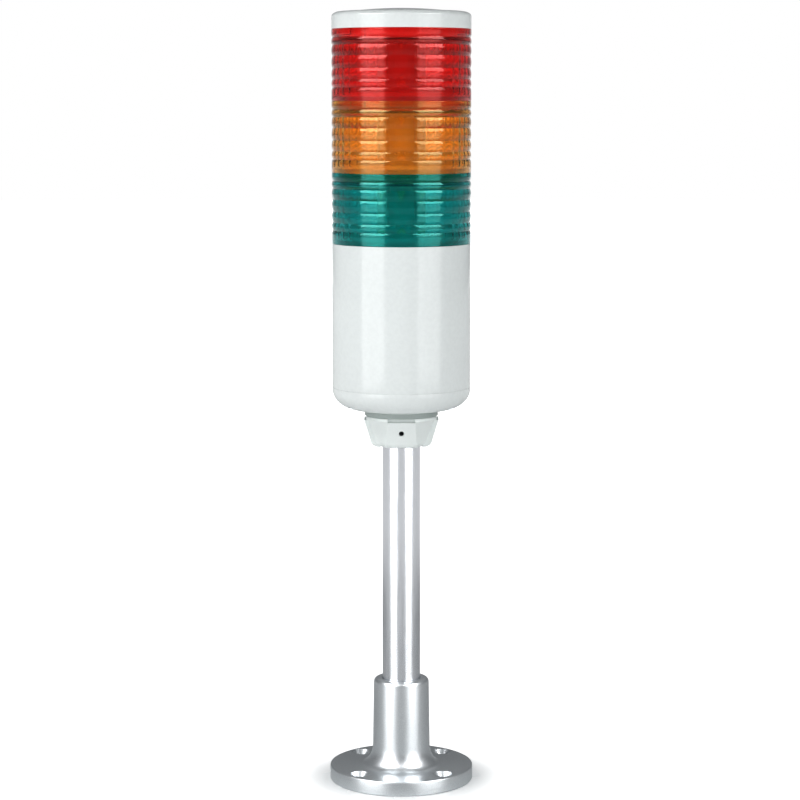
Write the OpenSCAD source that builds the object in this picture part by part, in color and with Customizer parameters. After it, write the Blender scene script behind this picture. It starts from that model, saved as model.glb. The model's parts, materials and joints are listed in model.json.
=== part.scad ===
// Stack light on a pole: three tinted lamp modules and a cap twist-locked on a housing,
// which a tapered collar holds on an aluminium pole standing in a cast flanged base.
// Millimetres, +Z up. The origin is the centre of the flange's underside, and the front faces -Y.

/* [Base casting] */
// Diameter of the flange
flange_d = 84; // [82:1:110]
// Thickness of the flange
flange_t = 8.5; // [8:0.5:12]
// Bevel on the flange's edges
flange_bevel = 0.8; // [0.4:0.1:1.5]
// Distance of the bolt holes' centres from the flange's edge
bolt_inset = 8; // [7:0.5:9]
// Number of bolt holes
bolt_count = 4; // [3:1:6]
// Diameter of each bolt hole
bolt_hole_d = 5.5; // [4.5:0.1:6]
// Diameter of the countersink at the mouth of each bolt hole
bolt_sink_d = 11.5; // [9:0.5:12]
// Diameter of the boss at its top
boss_d = 32.4; // [30:0.2:36]
// How much wider the boss is at its foot, by the casting's draft
boss_draft = 1.2; // [0.4:0.1:2]
// Height of the boss above the flange's underside
boss_h = 60.4; // [50:0.1:80]
// Width of the flare between the boss and the flange
flare_w = 8; // [5:0.5:10]
// Height of that flare
flare_h = 12; // [6:0.5:15]
// Rounding of the boss's upper edge
boss_round = 2.4; // [0.5:0.1:3]
// Depth of the hollows cored out of the flange's underside
core_depth = 4.5; // [2:0.5:5]
// Width of the ribs between those hollows
core_rib = 3; // [2:0.5:5]
// Height of the base's set screw above the flange's underside
base_screw_z = 40; // [34:1:46]
// Diameter of the base's set screw
base_screw_d = 5; // [4:0.5:6]

/* [Pole] */
// Outer diameter of the pole
pole_d = 22; // [20:0.1:23]
// Wall thickness of the pole
pole_wall = 1.5; // [1:0.1:2]
// Length of the pole
pole_l = 200; // [150:5:800]
// Length of pole held in the base
pole_in_base = 43.5; // [30:0.5:46]
// Length of pole held in the collar
pole_in_collar = 18.2; // [14:0.1:22]
// Radial clearance of the pole in its sockets
pole_fit = 0.15; // [0.1:0.05:0.4]

/* [Pole collar] */
// Height of the collar below the gasket
collar_h = 17.8; // [16:0.1:24]
// Diameter of the collar's upper rim
collar_rim_d = 43.6; // [43.2:0.1:47]
// Height of the collar's upper rim
collar_rim_t = 2; // [1.5:0.1:3]
// How far the rim stands out from the taper under it
rim_step = 1.1; // [0.9:0.1:1.8]
// Diameter of the collar's taper where its lower rounding starts
taper_foot_d = 34.2; // [31:0.1:36]
// Height of the lower rounding
collar_round_h = 4; // [3:0.1:5]
// Thickness of the collar's lip round the pole
collar_lip = 1.05; // [0.8:0.05:2]
// Number of set-screw pads round the collar
pad_count = 4; // [3:1:4]
// Width of a pad at its foot
pad_foot_w = 18.5; // [14:0.5:20]
// Width of a pad at its head
pad_head_w = 16.5; // [10:0.5:18]
// How far a pad stands out from the taper
pad_proud = 0.9; // [0.4:0.1:1.4]
// Diameter of the collar's set screws
collar_screw_d = 3; // [3:0.5:5]
// Length of the collar's set screws
collar_screw_l = 6; // [4:0.5:7]
// Height of the collar's set screws above the collar's foot
collar_screw_z = 9.3; // [7:0.1:10]
// How far the rim stands out from the tube above it, which passes through the cover
rim_seat_w = 3; // [2.5:0.1:4]
// Wall thickness of that tube
neck_tube_wall = 3.4; // [2.5:0.1:5]
// Thickness of the neck gasket
gasket_t = 3; // [1:0.1:4]
// Thickness of the clamp nut
nut_t = 4.5; // [3:0.5:6]
// Distance of the clamp nut's corners from the cover's inner rounding
nut_clear = 0.6; // [0.3:0.1:1.5]

/* [Housing] */
// Outer diameter of the housing, bottom cover and cap
body_d = 80; // [79.6:0.1:84]
// Wall thickness of the housing
body_wall = 2.5; // [2:0.1:2.8]
// Height of the housing
housing_h = 83.2; // [80:0.1:110]
// Height of the bottom cover above the neck
cover_h = 12.9; // [12:0.1:16]
// Height of the neck under the bottom cover
neck_h = 0.8; // [0.8:0.1:4]
// Width of the flat ring between the neck and the cover's lower rounding
cover_flat_w = 3.4; // [3.2:0.1:6]
// Height of the cover's lower rounding
cover_round_h = 11.4; // [8:0.1:11.6]
// Wall thickness of the bottom cover
cover_wall = 2.2; // [1.8:0.1:2.4]
// Height of the cover's lip inside the housing
lip_h = 3; // [2:0.5:5]
// Bevel on the edges that meet at each parting line
part_bevel = 0.3; // [0.1:0.05:0.5]
// Distance of the cover screws from the housing's inner wall
cover_screw_inset = 5.5; // [5:0.5:7]
// Diameter of the cover screws
cover_screw_d = 3; // [2.5:0.5:3]
// Thickness of the power board
board_t = 1.6; // [1:0.2:2]
// Width of the power board
board_w = 66; // [62:1:68]
// Gap between the power board and the contact plate above it
board_gap = 4.4; // [3:0.2:8]

/* [Lamp modules] */
// How far the lenses stand out from the housing
lens_proud = 0; // [0:0.1:1]
// Height that each lamp module adds
module_h = 40.7; // [40.2:0.1:46]
// Height of the plain band at the top of a lens
band_top = 5.6; // [5:0.1:6]
// Depth of the grooves between a lens's rings
ring_depth = 0.9; // [0.6:0.1:1.2]
// Depth of the upright flutes
flute_depth = 1.2; // [0.8:0.1:1.4]
// Number of upright flutes
flute_count = 40; // [24:4:60]
// Width of the ledge that carries an LED carrier
ledge_w = 2.7; // [2:0.1:4]
// Width of an LED carrier's post across its flats
post_flats = 22; // [20:0.5:26]
// Thickness of an LED board
led_board_t = 1.2; // [0.8:0.1:1.6]
// Width of an LED board
led_board_w = 9.6; // [8:0.2:11]
// Height of an LED board
led_board_h = 27; // [24:1:28]
// Number of LEDs on each LED board
leds_per_board = 3; // [1:1:4]

/* [Twist lock] */
// Length of each spigot
spigot_l = 6; // [5.8:0.1:6.8]
// Thickness of the seal under each spigot
seal_t = 0.8; // [0.6:0.1:1.2]
// Width of the shoulder that carries the seal
seat_w = 2; // [1.6:0.1:2.4]
// Wall left outside the lugs' channels
socket_wall = 1.6; // [1.2:0.1:2]
// Wall thickness of each spigot
spigot_wall = 2.5; // [2:0.1:2.8]
// Radial clearance between spigot and socket
lock_fit = 0.3; // [0.2:0.05:0.4]
// Number of locking lugs
lug_count = 3; // [2:1:4]
// Angle that a lug covers
lug_angle = 14; // [8:1:18]
// Height of a lug
lug_h = 1.8; // [1.4:0.1:2]
// How far a lug stands out from its spigot
lug_proud = 1.2; // [0.8:0.1:1.2]
// Angle to turn a module from locked to free
twist = 20; // [15:1:30]

/* [Cap] */
// Height of the cap's upright side
cap_side_h = 7; // [5:0.1:10]
// Radial size of the rounding at the cap's upper edge
cap_round_w = 5; // [3:0.1:6]
// Height of the rounding at the cap's upper edge
cap_round_h = 2.9; // [2:0.1:4]
// Width of the flat ring between that rounding and the raised dome
dome_edge = 4.5; // [3:0.5:10]
// Height of the raised dome
dome_h = 1.9; // [1:0.1:4]
// Wall thickness of the cap
cap_wall = 2.2; // [1.8:0.1:2.6]

/* [Hidden] */
$fn = 96;

// Lamp modules from the bottom up
GREEN = 0;
AMBER = 1;
RED = 2;
lens_colours = ["teal", "orange", "crimson"];
// Heights of a lens's rings from the bottom up, as shares of the ribbed band
ring_shares = [5.1, 5.95, 6.9, 5.95, 5.1];
ribbed_h = 29;

// How far a cut runs past the face that it opens
over = 1;

// Heights, each stacked on the one below
pole_z0 = boss_h - pole_in_base;
pole_z1 = pole_z0 + pole_l;
collar_z0 = pole_z1 - pole_in_collar;
collar_z1 = collar_z0 + collar_h;
neck_z = collar_z1 + gasket_t;
cover_z = neck_z + neck_h;
housing_z = cover_z + cover_h;
housing_top = housing_z + housing_h;
cap_z = housing_top + 3 * module_h;
function module_z(i) = housing_top + i * module_h;

// Radii shared by pieces that fit each other
pole_r = pole_d / 2;
pole_bore_r = pole_r - pole_wall;
pole_socket_r = pole_r + pole_fit;
cable_r = pole_bore_r + 0.25;
body_r = body_d / 2;
body_bore_r = body_r - body_wall;
lens_r = body_r + lens_proud;
channel_r = body_r - socket_wall;
lug_r = channel_r - lock_fit;
spigot_r = lug_r - lug_proud;
spigot_bore_r = spigot_r - spigot_wall;
socket_r = spigot_r + lock_fit;
seat_r = socket_r - seat_w;
ledge_r = seat_r - ledge_w;
carrier_r = seat_r - 0.3;
flute_crest_r = seat_r - 0.2;
flute_root_r = flute_crest_r + flute_depth;
collar_rim_r = collar_rim_d / 2;
round_r0 = collar_rim_r + cover_flat_w;
neck_tube_r = collar_rim_r - rim_seat_w;
neck_hole_r = neck_tube_r + 0.3;
post_r = post_flats / 2;

// Twist lock, measured down from the plane where two pieces meet
socket_depth = spigot_l + seal_t;
lug_edge = 0.6;
lug_top = spigot_l - lug_edge - lug_h;
lug_slack = 0.3;
slack_angle = 0.5;
slot_relief = 0.1;
lug_places = [for (i = [0 : lug_count - 1]) 90 + i * 360 / lug_count];

// Seals and ledges inside a socket
shoulder_t = 2;
ledge_t = 2;
ledge_z = 2.5;
flute_z0 = ledge_z + 1.5;
contact_gap = 1;

// Points of an elliptical arc, for the round stretches of the revolved outlines
function arc(centre, rx, ry, a0, a1, steps = 10) = [
    for (i = [0 : steps])
        let (a = a0 + (a1 - a0) * i / steps)
            [centre[0] + rx * cos(a), centre[1] + ry * sin(a)]
];

// Sum of the first n numbers of a list
function sum_to(list, n) = n == 0 ? 0 : list[n - 1] + sum_to(list, n - 1);

// A block bent round the Z axis, between two radii, two heights and two angles
module ring_block(r0, r1, z0, z1, a0, a1) {
    rotate([0, 0, a0])
        rotate_extrude(angle = a1 - a0)
            translate([r0, z0])
                square([r1 - r0, z1 - z0]);
}

// A washer between two radii
module ring(r0, r1, z0, z1) {
    difference() {
        translate([0, 0, z0])
            cylinder(r = r1, h = z1 - z0);
        translate([0, 0, z0 - over])
            cylinder(r = r0, h = z1 - z0 + 2 * over);
    }
}

// A cylinder lying along -Y, between two distances from the Z axis
module front_rod(r, y0, y1, z, sides = 0) {
    translate([0, -y0, z])
        rotate([90, 0, 0])
            cylinder(r = r, h = y1 - y0, $fn = sides > 0 ? sides : $fn);
}

// A headless screw with a hexagon socket, pointing at the pole from the front
module set_screw(d, tip_y, end_y, z) {
    difference() {
        front_rod(d / 2 - 0.05, tip_y, end_y, z);
        front_rod(d * 0.29, (tip_y + end_y) / 2, end_y + over, z, 6);
    }
}

// ---------------------------------------------------------------- base and pole

boss_r = boss_d / 2;
boss_foot_r = boss_r + boss_draft / 2;
core_wall = 2;
core_r0 = boss_foot_r - core_wall + 0.5;
bolt_circle_r = flange_d / 2 - bolt_inset;
core_r1 = bolt_circle_r - bolt_sink_d / 2 - core_wall;

function base_outline() = concat(
    [
        [0, 0],
        [flange_d / 2 - flange_bevel, 0],
        [flange_d / 2, flange_bevel],
        [flange_d / 2, flange_t - flange_bevel],
        [flange_d / 2 - flange_bevel, flange_t]
    ],
    arc([boss_foot_r + flare_w, flange_t + flare_h], flare_w, flare_h, 270, 180, 12),
    arc([boss_r - boss_round, boss_h - boss_round], boss_round, boss_round, 0, 90, 6),
    [[0, boss_h]]
);

// Hollows that the casting's core leaves under the flange, parted by radial ribs
module base_hollows() {
    difference() {
        ring(core_r0, core_r1, -over, core_depth);
        for (i = [0 : bolt_count - 1])
            rotate([0, 0, i * 360 / bolt_count])
                translate([0, -core_rib / 2, -2 * over])
                    cube([core_r1 + over, core_rib, core_depth + 3 * over]);
    }
}

module base_casting() {
    sink_depth = (bolt_sink_d - bolt_hole_d) / 2;
    color("silver")
        difference() {
            rotate_extrude()
                polygon(base_outline());
            translate([0, 0, pole_z0])
                cylinder(r = pole_socket_r, h = pole_in_base + over);
            translate([0, 0, -over])
                cylinder(r = cable_r, h = pole_z0 + 2 * over);
            for (i = [0 : bolt_count - 1])
                rotate([0, 0, (i + 0.5) * 360 / bolt_count])
                    translate([bolt_circle_r, 0, 0]) {
                        translate([0, 0, -over])
                            cylinder(d = bolt_hole_d, h = flange_t + 2 * over);
                        translate([0, 0, flange_t - sink_depth])
                            cylinder(d1 = bolt_hole_d, d2 = bolt_sink_d + 2 * over, h = sink_depth + over);
                    }
            base_hollows();
            rotate([0, 0, 180])
                front_rod(base_screw_d / 2, pole_r - over, boss_foot_r + over, base_screw_z);
        }
}

module base_set_screw() {
    color("dimgray")
        rotate([0, 0, 180])
            set_screw(base_screw_d, pole_r, boss_r - 0.4, base_screw_z);
}

module pole() {
    color("gainsboro")
        ring(pole_bore_r, pole_r, pole_z0, pole_z1);
}

// ---------------------------------------------------------------- pole collar

pad_top = collar_h - collar_rim_t;
collar_foot_r = pole_socket_r + collar_lip;
taper_foot_r = taper_foot_d / 2;
taper_top_r = collar_rim_r - rim_step;
pole_stop_t = 2;
neck_tube_top = cover_z + cover_wall + nut_t + 0.8;
neck_tube_bore_r = neck_tube_r - neck_tube_wall;
window_w = pad_head_w - 0.8;

// Outline of the collar's taper, pushed out by the given amount for a pad's face
function taper_outline(proud) = concat(
    [[0, 0]],
    arc(
        [collar_foot_r, collar_round_h],
        taper_foot_r + proud - collar_foot_r,
        collar_round_h,
        270,
        360
    ),
    [
        [taper_top_r + proud, pad_top],
        [0, pad_top]
    ]
);

// One flat-faced pad, as wide at its foot as at its head is narrow, on the collar's front
module collar_pad() {
    intersection() {
        rotate([90, 0, -90])
            translate([0, 0, -pad_foot_w])
                linear_extrude(height = 2 * pad_foot_w)
                    polygon(taper_outline(pad_proud));
        rotate([90, 0, 0])
            linear_extrude(height = 2 * collar_rim_r)
                polygon([
                    [-pad_foot_w / 2, 0],
                    [pad_foot_w / 2, 0],
                    [pad_head_w / 2, pad_top],
                    [-pad_head_w / 2, pad_top]
                ]);
    }
}

module pole_collar() {
    color("lightgray")
        translate([0, 0, collar_z0])
            difference() {
                union() {
                    rotate_extrude()
                        polygon(taper_outline(0));
                    for (i = [0 : pad_count - 1])
                        rotate([0, 0, i * 360 / pad_count])
                            collar_pad();
                    difference() {
                        translate([0, 0, pad_top])
                            cylinder(r = collar_rim_r, h = collar_rim_t);
                        for (i = [0 : pad_count - 1])
                            rotate([0, 0, i * 360 / pad_count])
                                translate([-window_w / 2, -collar_rim_r - over, pad_top - over])
                                    cube([window_w, rim_seat_w + over, collar_rim_t + 2 * over]);
                    }
                    translate([0, 0, pad_top])
                        cylinder(r = neck_tube_r, h = neck_tube_top - collar_z0 - pad_top);
                }
                translate([0, 0, -over])
                    cylinder(r = pole_socket_r, h = pole_in_collar + over);
                cylinder(r = cable_r, h = neck_tube_top);
                translate([0, 0, pole_in_collar + pole_stop_t])
                    cylinder(r = neck_tube_bore_r, h = neck_tube_top);
                for (i = [0 : pad_count - 1])
                    rotate([0, 0, i * 360 / pad_count])
                        front_rod(collar_screw_d / 2, pole_r - over, collar_rim_r + over, collar_screw_z);
            }
}

module collar_set_screws() {
    color("dimgray")
        for (i = [0 : pad_count - 1])
            rotate([0, 0, i * 360 / pad_count])
                set_screw(collar_screw_d, pole_r, pole_r + collar_screw_l, collar_z0 + collar_screw_z);
}

module neck_gasket() {
    color("dimgray")
        ring(neck_hole_r, collar_rim_r - 0.5, collar_z1, neck_z);
}

module clamp_nut() {
    nut_z = cover_z + cover_wall;
    color("whitesmoke")
        difference() {
            translate([0, 0, nut_z])
                cylinder(r = round_r0 - nut_clear, h = nut_t, $fn = 6);
            translate([0, 0, nut_z - over])
                cylinder(r = neck_tube_r + 0.05, h = nut_t + 2 * over);
        }
}

// ---------------------------------------------------------------- bottom cover

neck_fillet = min(neck_h, cover_flat_w) - 0.2;
lip_fit = 0.3;
lip_r1 = body_bore_r - lip_fit;
lip_r0 = lip_r1 - 2;
boss_places = [90, 210, 330];
screw_boss_r = 4.5;
screw_r = cover_screw_d / 2;
screw_circle_r = body_bore_r - cover_screw_inset;
screw_head_r = 2.8;
screw_head_t = 2.2;
screw_seat_z = cover_z + cover_wall + 2.2;
screw_boss_h = 12;
screw_l = housing_z + screw_boss_h - 4 - screw_seat_z;

function cover_outline() = concat(
    [[neck_hole_r, neck_z], [collar_rim_r, neck_z]],
    arc([collar_rim_r + neck_fillet, cover_z - neck_fillet], neck_fillet, neck_fillet, 180, 90, 6),
    arc([round_r0, cover_z + cover_round_h], body_r - round_r0, cover_round_h, 270, 360, 14),
    [
        [body_r, housing_z - part_bevel],
        [body_r - part_bevel, housing_z],
        [lip_r1, housing_z],
        [lip_r1, housing_z + lip_h],
        [lip_r0, housing_z + lip_h]
    ],
    arc(
        [round_r0, cover_z + cover_round_h],
        lip_r0 - round_r0,
        cover_round_h - cover_wall,
        0,
        -90,
        12
    ),
    [[neck_hole_r, cover_z + cover_wall]]
);

module at_screws() {
    for (a = boss_places)
        rotate([0, 0, a])
            translate([screw_circle_r, 0, 0])
                children();
}

module bottom_cover() {
    color("white")
        difference() {
            union() {
                difference() {
                    rotate_extrude()
                        polygon(cover_outline());
                    at_screws()
                        translate([-screw_boss_r, -screw_boss_r - lip_fit, housing_z])
                            cube([3 * screw_boss_r, 2 * (screw_boss_r + lip_fit), lip_h + over]);
                }
                at_screws()
                    translate([0, 0, screw_seat_z - 0.2])
                        cylinder(r = screw_boss_r, h = housing_z - screw_seat_z + 0.2);
            }
            at_screws() {
                translate([0, 0, neck_z])
                    cylinder(r = screw_head_r + 0.4, h = screw_seat_z - neck_z);
                translate([0, 0, neck_z])
                    cylinder(r = screw_r + 0.2, h = housing_z + over - neck_z);
            }
        }
}

module cover_screws() {
    color("silver")
        at_screws()
            difference() {
                union() {
                    translate([0, 0, screw_seat_z - screw_head_t])
                        cylinder(r = screw_head_r, h = screw_head_t);
                    translate([0, 0, screw_seat_z - over])
                        cylinder(r = screw_r, h = screw_l + over);
                }
                translate([0, 0, screw_seat_z - screw_head_t - over])
                    cylinder(r = 1.3, h = over + 1.2, $fn = 6);
            }
}

// ---------------------------------------------------------------- twist lock

// Lugs on the spigot of a piece whose lower face lies at z = 0
module spigot_lugs() {
    for (a = lug_places)
        ring_block(
            spigot_r - 1, lug_r,
            -lug_top - lug_h, -lug_top,
            a - lug_angle / 2, a + lug_angle / 2
        );
}

// L-shaped channels in the socket of a piece whose upper face lies at z = 0:
// a level run for each lug, and an upright slot that lets the lug in at the run's end
module socket_channels() {
    half = lug_angle / 2 + slack_angle;
    run_z0 = -lug_top - lug_h - lug_slack;
    run_z1 = -lug_top + lug_slack;
    for (a = lug_places) {
        ring_block(socket_r - over, channel_r, run_z0, run_z1, a - half, a + twist + half + slack_angle);
        ring_block(
            socket_r - over, channel_r + slot_relief,
            (run_z0 + run_z1) / 2, over,
            a + twist - half, a + twist + half
        );
    }
}

// Outline of a spigot and of the shoulder beside it, on the lower face of a piece of radius r
function spigot_outline(r) = [
    [spigot_bore_r, -spigot_l],
    [spigot_r - 0.5, -spigot_l],
    [spigot_r, -spigot_l + 0.5],
    [spigot_r, 0],
    [r - part_bevel, 0],
    [r, part_bevel]
];

// Outline of a socket's mouth, wall and seal shoulder, on the upper face at height z of a piece of radius r
function socket_outline(r, z) = [
    [r, z - part_bevel],
    [r - part_bevel, z],
    [socket_r + part_bevel, z],
    [socket_r, z - part_bevel],
    [socket_r, z - socket_depth],
    [seat_r, z - socket_depth]
];

module socket_seal(z) {
    color("dimgray")
        ring(seat_r + 0.2, socket_r - 0.2, z - socket_depth, z - spigot_l);
}

// ---------------------------------------------------------------- housing

plate_z = housing_top - socket_depth - shoulder_t;
web_w = 4;
guide_w = 5;
guide_z0 = housing_z + screw_boss_h + 4;
board_z0 = guide_z0 + 2;
board_z1 = plate_z - board_gap;
board_h = board_z1 - board_z0;
guide_slot = board_t + 0.2;

function housing_outline() = concat(
    [
        [body_bore_r, housing_z],
        [body_r - part_bevel, housing_z],
        [body_r, housing_z + part_bevel]
    ],
    socket_outline(body_r, housing_top),
    [
        [seat_r, plate_z],
        [ledge_r, plate_z],
        [ledge_r, plate_z - ledge_t],
        [body_bore_r, plate_z - ledge_t - (body_bore_r - ledge_r) * 0.6]
    ]
);

// One upright guide on the housing's wall, with a slot for the power board's edge
module board_guide() {
    slot_x = board_w / 2 + 0.2;
    difference() {
        translate([board_w / 2 - 2, -guide_w / 2, guide_z0])
            cube([body_bore_r + 1 - board_w / 2 + 2, guide_w, board_h]);
        translate([board_w / 2 - 2 - over, -guide_slot / 2, board_z0])
            cube([slot_x - board_w / 2 + 2 + over, guide_slot, board_h]);
    }
}

module housing() {
    color("white")
        difference() {
            union() {
                rotate_extrude()
                    polygon(housing_outline());
                at_screws() {
                    translate([0, 0, housing_z])
                        cylinder(r = screw_boss_r, h = screw_boss_h);
                    translate([0, -web_w / 2, housing_z])
                        cube([body_bore_r + 1 - screw_circle_r, web_w, screw_boss_h]);
                }
                for (side = [0, 180])
                    rotate([0, 0, side])
                        board_guide();
            }
            at_screws()
                translate([0, 0, housing_z - over])
                    cylinder(r = screw_r + 0.05, h = screw_boss_h - 1);
            translate([0, 0, housing_top])
                socket_channels();
        }
}

module housing_seal() {
    socket_seal(housing_top);
}

// ---------------------------------------------------------------- inside the housing

part_y = board_t / 2;
core = [32, 20, 26];
bobbin = [20, 24, 34];
bobbin_z = 3;
can_r = 5;
can_l = 18;
can_z = 22;
can_groove = 3;
relay = [12, 15, 18];
relay_x = [2, 16];
relay_z = 15;
ways = 5;
way_pitch = 7.5;
way_r = 2;
block_d = 12;
block_h = 10;
header_w = 30;
header_d = 8;
header_h = 6;

module power_board() {
    color("darkgreen")
        translate([-board_w / 2, -board_t / 2, board_z0])
            cube([board_w, board_t, board_h]);
}

// A laminated core with its bobbin standing out on both sides
module transformer() {
    color("dimgray")
        translate([0, part_y, board_z0 + bobbin_z + bobbin[2] / 2]) {
            translate([-core[0] / 2, 0, -core[2] / 2])
                cube(core);
            translate([-bobbin[0] / 2, 0, -bobbin[2] / 2])
                cube(bobbin);
        }
}

module capacitors() {
    color("slategray")
        for (x = [-4, -1.4] * can_r)
            translate([x, 0, board_z0 + can_z])
                difference() {
                    front_rod(can_r, part_y, part_y + can_l, 0);
                    ring_groove(can_r, part_y + can_groove);
                }
}

// The crimped groove near the foot of a capacitor's can
module ring_groove(r, y) {
    translate([0, -y, 0])
        rotate([90, 0, 0])
            ring(r - 0.4, r + over, 0, 1);
}

module relays() {
    color("royalblue")
        for (x = relay_x)
            translate([x, -part_y - relay[1], board_z0 + relay_z])
                cube(relay);
}

module terminal_block() {
    color("seagreen")
        difference() {
            translate([-ways * way_pitch / 2, -part_y - block_d, board_z0 + 1])
                cube([ways * way_pitch, block_d, block_h]);
            for (i = [0 : ways - 1])
                translate([(i - (ways - 1) / 2) * way_pitch, -part_y - block_d / 2, 0]) {
                    translate([0, 0, board_z0])
                        cylinder(r = way_r, h = block_h * 0.7);
                    front_rod(way_r, block_d / 4, block_d / 2 + over, board_z0 + 1 + block_h / 2);
                }
        }
}

// Header that joins the board's upper edge to the contact plate
module board_connector() {
    color("black")
        translate([-header_w / 2, -part_y - header_d, board_z1 - header_h])
            cube([header_w, header_d, board_gap + header_h]);
}

module contact_plate() {
    color("whitesmoke") {
        translate([0, 0, plate_z])
            cylinder(r = carrier_r, h = shoulder_t);
        translate([0, 0, plate_z])
            cylinder(r = post_r / cos(30), h = housing_top - contact_gap - plate_z, $fn = 6);
    }
}

// ---------------------------------------------------------------- lamp modules

carrier_t = 2.2;
pin_r = 1;
pin_circle_r = post_r - 1.8;
post_bore_r = pin_circle_r - pin_r - 0.4;
led_size = 3.6;
led_t = 1.2;
led_dome_r = 1.4;
ring_z0 = module_h - band_top - ribbed_h;

// Outline of one convex ring, from its lower groove to its upper one
function ring_arc(i) =
    let (
        h = ring_shares[i] * ribbed_h / sum_to(ring_shares, len(ring_shares)),
        z = ring_z0 + ribbed_h * sum_to(ring_shares, i) / sum_to(ring_shares, len(ring_shares)),
        r = (h * h / 4 + ring_depth * ring_depth) / (2 * ring_depth),
        reach = asin(h / 2 / r)
    )
    arc([lens_r - r, z + h / 2], r, r, -reach, reach, 8);

function lens_outline() = concat(
    spigot_outline(lens_r),
    [[lens_r, ring_z0 - ring_depth / 2]],
    [for (i = [0 : len(ring_shares) - 1]) each ring_arc(i)],
    [[lens_r, module_h - band_top + ring_depth / 2]],
    socket_outline(lens_r, module_h),
    [
        [seat_r, ledge_z],
        [ledge_r, ledge_z],
        [ledge_r, ledge_z - ledge_t],
        [spigot_bore_r, ledge_z - ledge_t]
    ]
);

// Star-shaped prism that cuts the upright flutes into a lens's inner wall
module flute_cutter() {
    translate([0, 0, flute_z0])
        linear_extrude(height = module_h - socket_depth - shoulder_t - flute_z0)
            polygon([
                for (i = [0 : 2 * flute_count - 1])
                    let (
                        r = i % 2 == 0 ? flute_crest_r : flute_root_r,
                        a = 90 + i * 180 / flute_count
                    )
                    [r * cos(a), r * sin(a)]
            ]);
}

module lens(i) {
    color(lens_colours[i])
        translate([0, 0, module_z(i)])
            difference() {
                union() {
                    rotate_extrude()
                        polygon(lens_outline());
                    spigot_lugs();
                }
                flute_cutter();
                translate([0, 0, module_h])
                    socket_channels();
            }
}

// Disc on the lens's ledge, with the hexagonal post that the LED boards stand against
module led_carrier(i) {
    color("whitesmoke")
        translate([0, 0, module_z(i)])
            difference() {
                union() {
                    translate([0, 0, ledge_z])
                        cylinder(r = carrier_r, h = carrier_t);
                    translate([0, 0, ledge_z - ledge_t])
                        cylinder(r = ledge_r - 0.3, h = ledge_t + over);
                    translate([0, 0, ledge_z])
                        cylinder(r = post_r / cos(30), h = module_h - contact_gap - ledge_z, $fn = 6);
                }
                translate([0, 0, ledge_z - ledge_t - over])
                    cylinder(r = post_bore_r, h = module_h - contact_gap - ledge_z);
            }
}

// Places children against each flat of the post, facing out along +X
module at_flats(i) {
    translate([0, 0, module_z(i) + ledge_z + carrier_t])
        for (side = [0 : 5])
            rotate([0, 0, 30 + 60 * side])
                translate([post_r, 0, 0])
                    children();
}

module led_boards(i) {
    color("ivory")
        at_flats(i)
            translate([0, -led_board_w / 2, 0])
                cube([led_board_t, led_board_w, led_board_h]);
}

module leds(i) {
    step = led_board_h / leds_per_board;
    color("gold")
        at_flats(i)
            for (k = [0 : leds_per_board - 1])
                translate([led_board_t, 0, (k + 0.5) * step]) {
                    translate([0, -led_size / 2, -led_size / 2])
                        cube([led_t, led_size, led_size]);
                    translate([led_t, 0, 0])
                        rotate([0, 90, 0])
                            cylinder(r1 = led_dome_r, r2 = led_dome_r / 2, h = 0.8);
                }
}

// Sprung pins that press on the post below
module contacts(i) {
    color("goldenrod")
        translate([0, 0, module_z(i)])
            for (a = [0 : 60 : 300])
                rotate([0, 0, a])
                    translate([pin_circle_r, 0, -contact_gap])
                        cylinder(r = pin_r, h = contact_gap + ledge_z - ledge_t);
}

module top_seal(i) {
    socket_seal(module_z(i) + module_h);
}

// ---------------------------------------------------------------- cap

cap_rim_z = cap_side_h + cap_round_h;
dome_r = body_r - cap_round_w - dome_edge;
dome_curve_r = (dome_r * dome_r + dome_h * dome_h) / (2 * dome_h);
dome_reach = asin(dome_r / dome_curve_r);

function cap_outline() = concat(
    spigot_outline(body_r),
    arc([body_r - cap_round_w, cap_side_h], cap_round_w, cap_round_h, 0, 90),
    arc([0, cap_rim_z + dome_h - dome_curve_r], dome_curve_r, dome_curve_r, 90 - dome_reach, 90, 12),
    [
        [0, cap_rim_z + dome_h - cap_wall],
        [dome_r, cap_rim_z - cap_wall],
        [spigot_bore_r - 2, cap_rim_z - cap_wall],
        [spigot_bore_r, cap_rim_z - cap_wall - 2]
    ]
);

module cap() {
    color("white")
        translate([0, 0, cap_z]) {
            rotate_extrude()
                polygon(cap_outline());
            spigot_lugs();
        }
}

base_casting();
base_set_screw();
pole();
pole_collar();
collar_set_screws();
neck_gasket();
clamp_nut();
bottom_cover();
cover_screws();
housing();
power_board();
transformer();
capacitors();
relays();
terminal_block();
board_connector();
contact_plate();
housing_seal();
lens(GREEN);  // green_lens
led_carrier(GREEN);  // green_led_carrier
led_boards(GREEN);  // green_led_boards
leds(GREEN);  // green_leds
contacts(GREEN);  // green_contacts
top_seal(GREEN);  // green_seal
lens(AMBER);  // amber_lens
led_carrier(AMBER);  // amber_led_carrier
led_boards(AMBER);  // amber_led_boards
leds(AMBER);  // amber_leds
contacts(AMBER);  // amber_contacts
top_seal(AMBER);  // amber_seal
lens(RED);  // red_lens
led_carrier(RED);  // red_led_carrier
led_boards(RED);  // red_led_boards
leds(RED);  // red_leds
contacts(RED);  // red_contacts
top_seal(RED);  // red_seal
cap();
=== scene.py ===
# %% [markdown]
# # A stack light on a pole
# This lesson dresses a signal tower: a cast aluminium foot, a drawn aluminium tube, a moulded collar, a
# white housing, three tinted lamp modules and a cap. The solids of the light come in first as a fixed
# frame. Most of the pieces that show are then turned again with finer curves than the solids have, each in
# the place of its solid.

# %% Load the frame
import json
import math

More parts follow.
